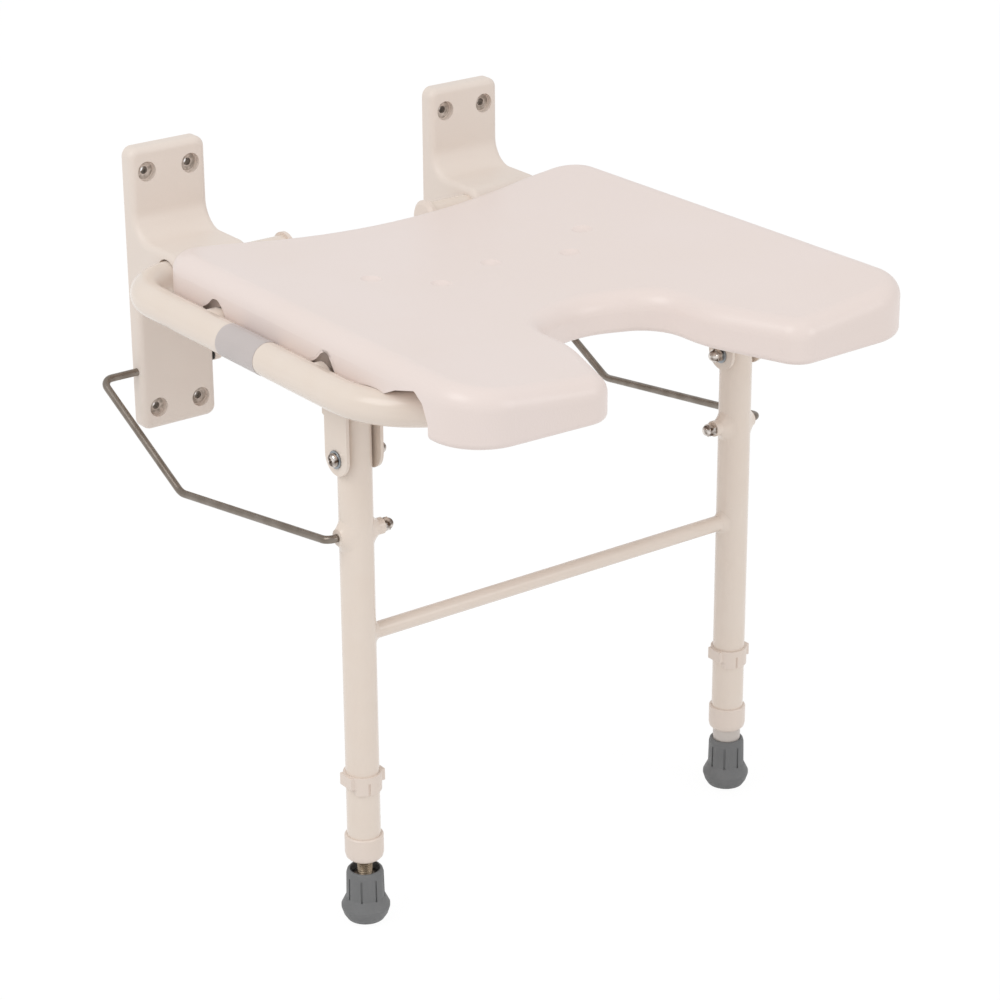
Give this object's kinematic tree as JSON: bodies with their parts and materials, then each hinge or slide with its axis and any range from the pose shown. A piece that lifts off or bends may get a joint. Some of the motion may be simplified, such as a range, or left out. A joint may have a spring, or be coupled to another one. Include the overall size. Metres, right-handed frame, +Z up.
{
  "type": "folding bath seat",
  "caption": "Wall-mounted folding shower seat with a moulded horseshoe board on a tube frame, two stays and a pair of telescopic folding legs.",
  "frame": {"origin": "on the wall plane, at the middle of the eight wall screw holes", "axes": "+X to the right as seen from the front, facing the wall; +Y into the wall; +Z up. Left and right in node names are as seen from the front"},
  "size_m": [0.4528, 0.4951, 0.5317],
  "materials": {
    "moulded_bracket": "moulded beige-white plastic, satin",
    "painted_tube": "cream powder coat",
    "seat_plastic": "blow-moulded ivory plastic, fine pebble",
    "cap_plastic": "ivory plastic",
    "clip_plastic": "ivory plastic",
    "bright_fastener": "bright zinc plate",
    "stay_steel": "dark drawn steel rod",
    "slide_tube": "grey powder coat",
    "foot_rubber": "mid-grey rubber",
    "plug_plastic": "black plastic",
    "stem_steel": "zinc-plated screw"
  },
  "bodies": {
    "wall": {"left_wall_bracket": "moulded_bracket", "right_wall_bracket": "moulded_bracket"},
    "seat": {"left_frame_tube": "painted_tube", "left_frame_end_cap": "cap_plastic", "left_leg_clevis": "painted_tube", "left_leg_bolt": "bright_fastener", "left_leg_washer": "bright_fastener", "left_leg_nut": "bright_fastener", "right_frame_tube": "painted_tube", "right_frame_end_cap": "cap_plastic", "right_leg_clevis": "painted_tube", "right_leg_bolt": "bright_fastener", "right_leg_washer": "bright_fastener", "right_leg_nut": "bright_fastener", "rear_cross_tube": "painted_tube", "front_cross_tube": "painted_tube", "seat_board": "seat_plastic", "seat_screws": "bright_fastener"},
    "legs": {"left_leg_tube": "painted_tube", "left_stay_boss": "painted_tube", "left_stay_peg": "stay_steel", "left_stay_nut": "bright_fastener", "left_height_clip": "clip_plastic", "left_leg_collar": "clip_plastic", "right_leg_tube": "painted_tube", "right_stay_boss": "painted_tube", "right_stay_peg": "stay_steel", "right_stay_nut": "bright_fastener", "right_height_clip": "clip_plastic", "right_leg_collar": "clip_plastic", "leg_crossbar": "painted_tube"},
    "left_stay": {"left_stay_rod": "stay_steel", "left_stay_cap": "cap_plastic"},
    "left_slide": {"left_sliding_leg": "slide_tube", "left_slide_plug": "plug_plastic"},
    "left_foot": {"left_ferrule": "foot_rubber", "left_foot_stem": "stem_steel"},
    "right_stay": {"right_stay_rod": "stay_steel", "right_stay_cap": "cap_plastic"},
    "right_slide": {"right_sliding_leg": "slide_tube", "right_slide_plug": "plug_plastic"},
    "right_foot": {"right_ferrule": "foot_rubber", "right_foot_stem": "stem_steel"}
  },
  "joints": [
    {"name": "seat_fold", "type": "hinge", "parent": "wall", "child": "seat", "pos_m": [0, -0.0605, 0.0273], "axis": [-1, 0, 0], "range_deg": [0, 90]},
    {"name": "leg_fold", "type": "hinge", "parent": "seat", "child": "legs", "pos_m": [0, -0.3185, -0.0362], "axis": [1, 0, 0], "range_deg": [0, 90]},
    {"name": "left_stay_swing", "type": "hinge", "parent": "wall", "child": "left_stay", "pos_m": [-0.142, -0.006, -0.06627], "axis": [-1, 0, 0], "range_deg": [0, 73.51]},
    {"name": "left_leg_slide", "type": "slide", "parent": "legs", "child": "left_slide", "axis": [0, 0, -1], "range_m": [0, 0.105]},
    {"name": "left_foot_level", "type": "slide", "parent": "left_slide", "child": "left_foot", "axis": [0, 0, -1], "range_m": [-0.009, 0.01]},
    {"name": "right_stay_swing", "type": "hinge", "parent": "wall", "child": "right_stay", "pos_m": [0.142, -0.006, -0.06627], "axis": [-1, 0, 0], "range_deg": [0, 73.51]},
    {"name": "right_leg_slide", "type": "slide", "parent": "legs", "child": "right_slide", "axis": [0, 0, -1], "range_m": [-0.009, 0.09]},
    {"name": "right_foot_level", "type": "slide", "parent": "right_slide", "child": "right_foot", "axis": [0, 0, -1], "range_m": [0, 0.025]}
  ],
  "couplings": [
    {"joint": "leg_fold", "follows": "seat_fold", "ratio": 1},
    {"joint": "left_stay_swing", "follows": "seat_fold", "ratio": 0.8167},
    {"joint": "right_stay_swing", "follows": "seat_fold", "ratio": 0.8167}
  ]
}
